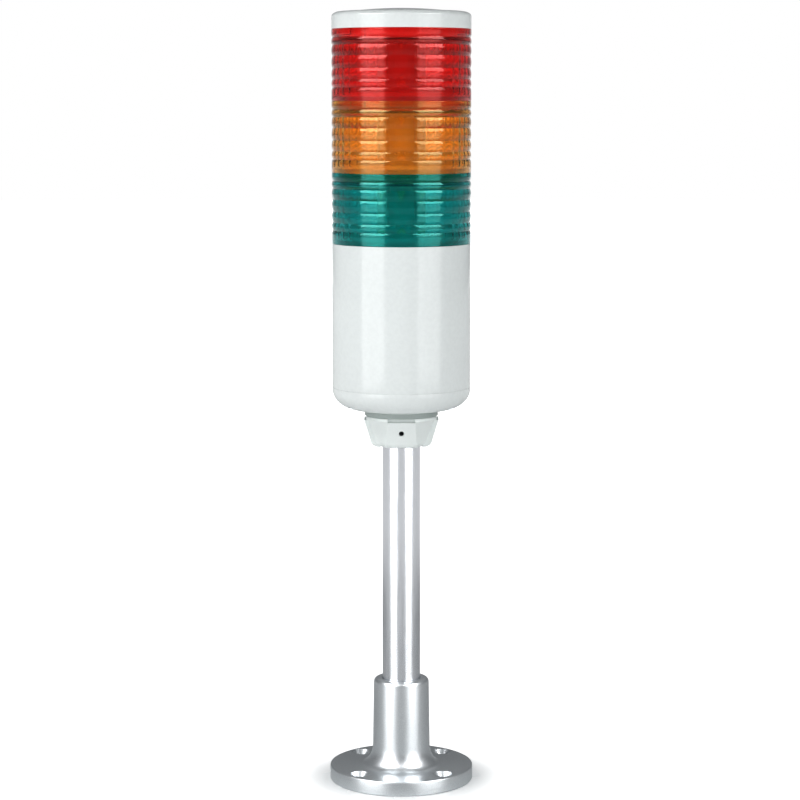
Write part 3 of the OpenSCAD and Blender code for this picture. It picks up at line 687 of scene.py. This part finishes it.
# %% Bosses and wells for the cover screws
SCREW_CIRCLE_R = 32
SCREW_SEAT = COVER_WALL + 2.2
STUD_R, WELL_R, WAY_R = 4.5, 3.2, 1.7
STUD_DROP, WELL_L, WAY_L = 0.1, 6, 30
for place in (90, 210, 330):
    turn = math.radians(place)
    x, y = SCREW_CIRCLE_R * math.cos(turn), SCREW_CIRCLE_R * math.sin(turn)
    seat_z = cover_z + SCREW_SEAT
    stud_z = (housing_z + seat_z) / 2 - STUD_DROP
    carve(cover, rod("boss", STUD_R, housing_z - seat_z, (x, y, stud_z)), "UNION")
    carve(cover, rod("well", WELL_R, WELL_L, (x, y, seat_z - WELL_L / 2)))
    carve(cover, rod("way", WAY_R, WAY_L, (x, y, seat_z)))
seat(cover, "stand", "housing_plastic", housing_abs, "bottom_cover")

# %% [markdown]
# ## The twist lock
# Every module has a spigot with three lugs below and a socket with three L-shaped channels above. These
# outlines are shared by the housing, the lenses and the cap, and are measured from the plane where two
# pieces meet. A lug is pushed out of a plain wall and a channel into one, so each wall gets two points
# close together where it has to step.

# %% Outlines of the lock
SPIGOT_R, SPIGOT_BORE_R, SPIGOT_L = 36.9, 34.4, 6
SOCKET_WALL_R, SEAT_R, SOCKET_DEPTH = 37.2, 35.2, 6.8
LUG_R, CHANNEL_R = 38.1, 38.4
LUG_Z0, LUG_Z1 = -5.4, -3.6
RUN_Z0, RUN_Z1 = -5.7, -3.3
STEP = 0.02


def spigot(r):
    """Spigot and shoulder under a piece of radius r, from the bore outwards.

    The shoulder stands a hair above the parting plane, so that it can turn on the piece below."""
    return (
        [(SPIGOT_BORE_R, -SPIGOT_L), (SPIGOT_R - LEAD_IN, -SPIGOT_L), (SPIGOT_R, -SPIGOT_L + LEAD_IN)]
        + [(SPIGOT_R, z) for z in (LUG_Z0 - STEP, LUG_Z0, LUG_Z1, LUG_Z1 + STEP, STEP)]
        + arc(r - PART_EDGE, PART_EDGE + STEP, PART_EDGE, PART_EDGE, -90, 0, 3))


def socket(r):
    """Mouth, wall and seat of a socket in a piece of radius r, from the outside inwards."""
    return (
        arc(r - PART_EDGE, -PART_EDGE, PART_EDGE, PART_EDGE, 0, 90, 3)
        + [(SOCKET_WALL_R + EDGE, 0), (SOCKET_WALL_R, -EDGE)]
        + [(SOCKET_WALL_R, z) for z in (RUN_Z1 + STEP, RUN_Z1, RUN_Z0, RUN_Z0 - STEP, -SOCKET_DEPTH)]
        + [(SEAT_R, -SOCKET_DEPTH)])


# %% Lugs and channels
LUG_PLACES = (90, 210, 330)
LUG_HALF, RUN_HALF, TWIST = 7, 7.6, 20


def off(angle, place):
    """Angle between a direction and a place, between -180 and 180 degrees."""
    return (angle - place + 180) % 360 - 180


def push_lugs(piece, z):
    """Raises the lugs of a spigot whose parting plane is at height z."""
    def chosen(r, angle, h):
        level = LUG_Z0 - STEP / 2 < h - z < LUG_Z1 + STEP / 2
        return level and abs(r - SPIGOT_R) < 0.1 and any(abs(off(angle, p)) < LUG_HALF for p in LUG_PLACES)
    push_wall(piece, chosen, LUG_R / SPIGOT_R)


def push_channels(piece, z):
    """Sinks the L-shaped channels of a socket whose parting plane is at height z."""
    def chosen(r, angle, h):
        near = SOCKET_WALL_R - 0.1 < r < SOCKET_WALL_R + 0.4
        turns = [off(angle, p) for p in LUG_PLACES]
        in_run = any(-RUN_HALF < t < TWIST + RUN_HALF for t in turns)
        in_slot = any(TWIST - RUN_HALF < t < TWIST + RUN_HALF for t in turns)
        run = in_run and RUN_Z0 - STEP / 2 < h - z < RUN_Z1 + STEP / 2
        slot = in_slot and RUN_Z1 < h - z < 0.1
        return near and (run or slot)
    push_wall(piece, chosen, CHANNEL_R / SOCKET_WALL_R)


# %% [markdown]
# The housing is a straight glossy tube with a socket on top, and a ledge inside for the contact plate.

# %% Turn the housing
FINE = 320  # columns round a glossy wall: eight for each of the forty flutes of a lens
WALL = 2.5
SHOULDER, LEDGE_R, LEDGE_SLOPE_H = 2, 32.5, 3
housing = turned("housing_shell", (
    [(body_r - WALL, housing_z)]
    + arc(body_r - PART_EDGE, housing_z + PART_EDGE, PART_EDGE, PART_EDGE, -90, 0, 4)
    + up(socket(body_r), housing_top)
    + up([(SEAT_R, -SOCKET_DEPTH - SHOULDER), (LEDGE_R, -SOCKET_DEPTH - SHOULDER),
          (LEDGE_R, -SOCKET_DEPTH - 2 * SHOULDER),
          (body_r - WALL, -SOCKET_DEPTH - 2 * SHOULDER - LEDGE_SLOPE_H)], housing_top)), FINE)
push_channels(housing, housing_top)
seat(housing, "stand", "housing_plastic", housing_abs, "housing")

# %% [markdown]
# ## The lenses
# A lens has five convex rings outside, which spread the light up and down, and forty upright flutes inside,
# which spread it sideways. The rings are part of the turned outline. Above and below them the wall is a
# plain band, and it rounds off towards the rings like half a ring, so that each band carries a highlight as
# well.

# %% Outline of a lens
lens_r, _, _ = span("green_lens")
module_h = twist_z["amber_module"] - twist_z["green_module"]
BAND_TOP, BAND_CURVE_H = 4.7, 4.4
RIBBED_H, RING_DEPTH = 28.4, 0.6
RING_SHARES = (4.7, 6.15, 7, 6.15, 4.4)
LEDGE_Z, LEDGE_T = 2.5, 2
FLUTE_Z0, FLUTE_Z1, FLUTE_END = 4, module_h - SOCKET_DEPTH - SHOULDER, 0.3


def ring(z, h, start=-1, end=1, steps=12):
    """Convex ring of height h that stands on height z.

    start and end say which part of it is drawn: -1 is its foot, 0 its crest and 1 its top."""
    curve = (h * h / 4 + RING_DEPTH ** 2) / (2 * RING_DEPTH)
    reach = math.degrees(math.asin(h / 2 / curve))
    return arc(lens_r - curve, z + h / 2, curve, curve, start * reach, end * reach, steps)


ring_z = module_h - BAND_TOP - RIBBED_H
rings = ring(ring_z - BAND_CURVE_H, BAND_CURVE_H, start=0, steps=6)
for share in RING_SHARES:
    h = RIBBED_H * share / sum(RING_SHARES)
    rings += ring(ring_z, h)
    ring_z += h
rings += ring(ring_z, BAND_CURVE_H, end=0, steps=6)
lens_outline = (
    spigot(lens_r)
    + rings
    + up(socket(lens_r), module_h)
    + [(SEAT_R, z) for z in (FLUTE_Z1 + FLUTE_END, FLUTE_Z1, FLUTE_Z0, FLUTE_Z0 - FLUTE_END, LEDGE_Z)]
    + [(LEDGE_R, LEDGE_Z), (LEDGE_R, LEDGE_Z - LEDGE_T), (SPIGOT_BORE_R, LEDGE_Z - LEDGE_T)])
print("points in the outline:", len(lens_outline))

# %% [markdown]
# The flutes are pushed into the inner wall, column by column, along a shallow wave, because a sharp valley
# between them would show as a hard dark line.

# %% Turn one lens and flute its wall
FLUTES, FLUTE_DEPTH = 40, 0.25
lens = turned("lens", lens_outline, FINE)
columns = FINE // FLUTES


def on_column(column):
    """Picks the points of the inner wall that stand a number of columns from the crest of a flute."""
    def chosen(r, angle, h):
        from_crest = abs((angle * FLUTES / 360 + 0.5) % 1 - 0.5) * columns
        on_wall = abs(r - SEAT_R) < 0.02 and FLUTE_Z0 - 0.1 < h < FLUTE_Z1 + 0.1
        return on_wall and abs(from_crest - column) < 0.1
    return chosen


for column in range(1, columns // 2 + 1):
    sunk = FLUTE_DEPTH * (1 - math.cos(math.tau * column / columns)) / 2
    push_wall(lens, on_column(column), 1 + sunk / SEAT_R)
push_lugs(lens, 0)
push_channels(lens, module_h)

# %% [markdown]
# The three lenses are alike, so the finished one is copied, each copy with its own mesh, and lifted to its
# parting plane. The lift is applied to the mesh, because a pattern on Object coordinates would slide
# otherwise.

# %% Copy the lens for each colour
for colour in COLOURS:
    body = colour + "_module"
    shell = copy_piece(lens, lift=twist_z[body])
    shell.name = shell.data.name = colour + "_lens_shell"
    shade(shell)
    seat(shell, body, colour + "_acrylic", lens_material[colour], colour + "_lens")
bpy.data.objects.remove(lens)

# %% [markdown]
# ## The cap
# The cap closes the top lamp: a low side, a rounding, a flat ring and a very shallow dome.

# %% Turn the cap
cap_z = twist_z["head_cap"]
CAP_SIDE_H = 7
CAP_ROUND_W, CAP_ROUND_H = 5, 2.9
DOME_R, DOME_H = 30.5, 1.9
CAP_WALL, CAP_CORNER = 2.2, 2
rim_z = CAP_SIDE_H + CAP_ROUND_H
dome_curve = (DOME_R ** 2 + DOME_H ** 2) / (2 * DOME_H)
reach = math.degrees(math.asin(DOME_R / dome_curve))
cap = turned("cap_shell", up(
    spigot(body_r)
    + arc(body_r - CAP_ROUND_W, CAP_SIDE_H, CAP_ROUND_W, CAP_ROUND_H, 0, 90, 14)
    + arc(0, rim_z + DOME_H - dome_curve, dome_curve, dome_curve, 90 - reach, 90, 16)
    + [(0, rim_z + DOME_H - CAP_WALL), (DOME_R, rim_z - CAP_WALL),
       (SPIGOT_BORE_R - CAP_CORNER, rim_z - CAP_WALL), (SPIGOT_BORE_R, rim_z - CAP_WALL - CAP_CORNER)],
    cap_z), FINE)
push_lugs(cap, cap_z)
seat(cap, "head_cap", "housing_plastic", housing_abs, "cap")

# %% [markdown]
# ## The solids that stay
# Screws, boards, LEDs, pins and seals already have their real shape, so they stay as they are and only get
# their material.

# %% Finish the solids that stay
def finish_solids(material, *names):
    """Gives solids a material in their own slots."""
    for name in names:
        nodes[name].data.materials.clear()
        nodes[name].data.materials.append(material)


finish_solids(black_steel, "base_set_screw", "collar_set_screws")
finish_solids(zinc_steel, "cover_screws")
finish_solids(inner_pbt, "clamp_nut", "contact_plate", *[c + "_led_carrier" for c in COLOURS])
finish_solids(seal_rubber, "housing_seal", *[c + "_seal" for c in COLOURS])
finish_solids(pin_brass, *[c + "_contacts" for c in COLOURS])
# The boards' grey is partly their white mask and partly painted shade on the post.
finish_solids(white_mask_painted_shade, *[c + "_led_boards" for c in COLOURS])
finish_solids(led_resin, *[c + "_leds" for c in COLOURS])
finish_solids(green_mask, "power_board")
finish_solids(core_plates, "transformer")
finish_solids(can_sleeve, "capacitors")
finish_solids(relay_plastic, "relays")
finish_solids(terminal_plastic, "terminal_block")
finish_solids(black_plastic, "board_connector")
print("solids that still show:", sum(not n.hide_render for n in nodes.values()))

# %% [markdown]
# ## The studio
# The light stands on a wide sheet of white acrylic. Close to the flange the sheet shows its own shade, and
# further out it fades to plain white, so that no horizon shows. Far out it glows a little, which keeps the
# floor's reflection in the upright walls pale.

# %% Floor
FLOOR_R = 8
SHEET_WAVE_MM = 60
FADE_R0, FADE_R1 = 0.03, 0.075
GLOW_R0, GLOW_R1, GLOW = 0.45, 0.85, 0.5
bpy.ops.object.select_all(action="DESELECT")
bpy.ops.mesh.primitive_circle_add(vertices=96, radius=FLOOR_R, fill_type="NGON", location=(0, 0, 0))
floor = bpy.context.object
floor.name = "floor"
acrylic = new_material(
    "acrylic_white_sheet", SHEET_WAVE_MM, ("#E9EBEB", "#ECEEEE"), (0.24, 0.3), 0, IOR=1.49)
ground = add_node(acrylic, "TexCoord", {})
distance = add_node(acrylic, "VectorMath", {0: ground.outputs["Object"]}, operation="LENGTH")
fade = add_node(
    acrylic, "MapRange", {"Value": distance.outputs["Value"], "From Min": FADE_R0, "From Max": FADE_R1},
    interpolation_type="SMOOTHSTEP")
ray = add_node(acrylic, "LightPath", {})
shown = add_node(
    acrylic, "Math", {0: fade.outputs[0], 1: ray.outputs["Is Camera Ray"]}, operation="MULTIPLY")
glow = add_node(
    acrylic, "MapRange",
    {"Value": distance.outputs["Value"], "From Min": GLOW_R0, "From Max": GLOW_R1, "To Max": GLOW},
    interpolation_type="SMOOTHSTEP")
lit = add_node(acrylic, "Math", {0: shown.outputs[0], 1: glow.outputs[0]}, operation="ADD")
sheet = acrylic.node_tree.nodes["Principled BSDF"]
sheet.inputs["Emission Color"].default_value = linear("#FFFFFF")
acrylic.node_tree.links.new(lit.outputs[0], sheet.inputs["Emission Strength"])
floor.data.materials.append(acrylic)
floor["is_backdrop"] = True

# %% [markdown]
# Softboxes on both sides of the camera give the two bright strips on every round wall. A real softbox does
# two jobs at once: it lights matt surfaces and it shows as a bright shape in glossy ones. Here each job has
# its own lamp, because the strips on the metal have to be brighter than the light on the white plastic
# allows.

# %% A softbox
def softbox(name, azimuth, away, z, width, height, radiance, aim_z, lights=True, shines=True):
    """A rectangle of light that faces the axis at height aim_z.

    Azimuth 0 is the camera's side, and positive is to its right. lights says whether it lights matt
    surfaces, and shines whether it shows in glossy ones."""
    turn = math.radians(azimuth)
    place = Vector((away * math.sin(turn), -away * math.cos(turn), z))
    light = bpy.data.lights.new(name, "AREA")
    light.shape = "RECTANGLE"
    light.size, light.size_y = width, height
    light.energy = radiance * math.pi * width * height
    lamp = bpy.data.objects.new(name, light)
    lamp.location = place
    lamp.rotation_euler = (Vector((0, 0, aim_z)) - place).to_track_quat("-Z", "Y").to_euler()
    lamp.visible_camera = False
    lamp.visible_diffuse = lamp.visible_transmission = lights
    lamp.visible_glossy = shines
    bpy.context.collection.objects.link(lamp)
    print(name, "radiates", round(light.energy, 1), "W")


# %% [markdown]
# On each side, a low softbox and a high panel light the matt surfaces, and a low shine and a high glint are
# seen in the glossy ones. The left side is the brighter one. A dim card stands behind the lenses and keeps
# their edges from turning black.

# %% Place the softboxes
LOW_Z, HIGH_AIM_Z = 0.28, 0.38
for side, across, azimuth, low, high, shine, glint in (
        ("left", -1, -47.5, 2.1, 5.2, 4.2, 13.0), ("right", 1, 46.5, 1.5, 2.75, 3.6, 11.0)):
    softbox("softbox_" + side, azimuth, away=0.8, z=LOW_Z, width=0.58, height=0.54,
            radiance=low, aim_z=LOW_Z, shines=False)
    softbox("panel_" + side, 56 * across, away=0.8, z=1.03, width=0.80, height=0.30,
            radiance=high, aim_z=HIGH_AIM_Z, shines=False)
    softbox("shine_" + side, azimuth, away=0.77, z=LOW_Z, width=0.56, height=0.52,
            radiance=shine, aim_z=LOW_Z, lights=False)
    softbox("glint_" + side, 52 * across, away=0.8, z=0.90, width=0.74, height=0.56,
            radiance=glint, aim_z=HIGH_AIM_Z, lights=False)
softbox("card_behind", 180, away=0.35, z=0.38, width=0.40, height=0.22, radiance=0.4, aim_z=0.38)

# %% [markdown]
# The surround fills the rest: the camera sees plain white behind the light, and everything else sees a dim,
# cool grey.

# %% Surround
world = bpy.data.worlds.new("studio")
bpy.context.scene.world = world
world.use_nodes = True
surround = world.node_tree.nodes["Background"]
surround.inputs["Color"].default_value = linear("#F2F6FA")
surround.inputs["Strength"].default_value = 0.2
backdrop = add_node(world, "Background", {"Color": linear("#FFFFFF")})
seen = add_node(world, "LightPath", {})
either = add_node(world, "MixShader", {
    0: seen.outputs["Is Camera Ray"], 1: surround.outputs[0], 2: backdrop.outputs[0]})
world.node_tree.links.new(either.outputs[0], world.node_tree.nodes["World Output"].inputs["Surface"])
print("surround", world.name)

# %% Sizes
shown_low, shown_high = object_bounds()
furthest = max(abs(a - b) for a, b in zip([*cad_low, *cad_high], [*shown_low, *shown_high]))
print("largest difference", round(furthest / MM, 3), "mm")
